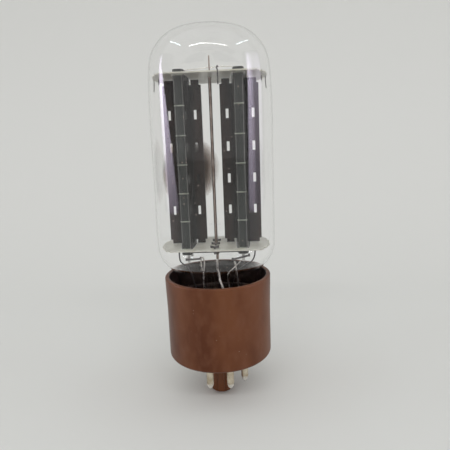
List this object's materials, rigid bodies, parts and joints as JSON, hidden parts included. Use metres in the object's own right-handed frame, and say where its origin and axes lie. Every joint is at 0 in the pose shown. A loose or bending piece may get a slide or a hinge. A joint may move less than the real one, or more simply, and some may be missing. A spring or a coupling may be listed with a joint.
{
  "type": "vacuum tube",
  "caption": "Glass rectifier tube with a straight domed bulb, two dark box plates side by side between mica discs, and a brown keyed plug-in base.",
  "frame": {"origin": "centre of the base's flat underside, the face that rests on the top of the tube socket", "axes": "+Z along the tube from the base to the dome; -Y is the side the key rib points to, which is the side the picture shows; +X to the right seen from there"},
  "size_m": [0.0382, 0.0382, 0.118],
  "materials": {
    "clear_glass": "gloss",
    "brown_phenolic": "gloss",
    "pin_nickel": "satin",
    "cement": "matte",
    "mica": "satin",
    "carbonised_nickel": "satin",
    "dark_metal": "satin",
    "bright_wire": "satin",
    "rod_metal": "gloss",
    "coated_ribbon": "matte"
  },
  "bodies": {
    "root": {"glass_envelope": "clear_glass", "stem_disc": "clear_glass", "exhaust_tube": "clear_glass", "base_shell": "brown_phenolic", "base_cement": "cement", "pin_1": "pin_nickel", "pin_2": "pin_nickel", "pin_4": "pin_nickel", "pin_6": "pin_nickel", "pin_8": "pin_nickel", "upper_mica": "mica", "lower_mica": "mica", "anode_left_front": "carbonised_nickel", "anode_left_rear": "carbonised_nickel", "anode_right_front": "carbonised_nickel", "anode_right_rear": "carbonised_nickel", "filament_left": "coated_ribbon", "filament_right": "coated_ribbon", "filament_spring": "bright_wire", "centre_rod": "rod_metal", "centre_stay": "dark_metal", "centre_ferrule": "rod_metal", "filament_bar_left": "dark_metal", "filament_bar_right": "dark_metal", "filament_bridge": "dark_metal", "filament_clip_left": "bright_wire", "lead_filament_left": "bright_wire", "lead_filament_right": "bright_wire", "lead_centre": "bright_wire", "support_lead_right": "bright_wire", "lead_anode_left": "dark_metal", "lead_anode_right": "dark_metal", "mica_hook": "dark_metal", "bulb_spacer_left": "dark_metal", "bulb_spacer_right": "dark_metal", "getter_pan": "bright_wire", "getter_post": "dark_metal"}
  },
  "joints": []
}
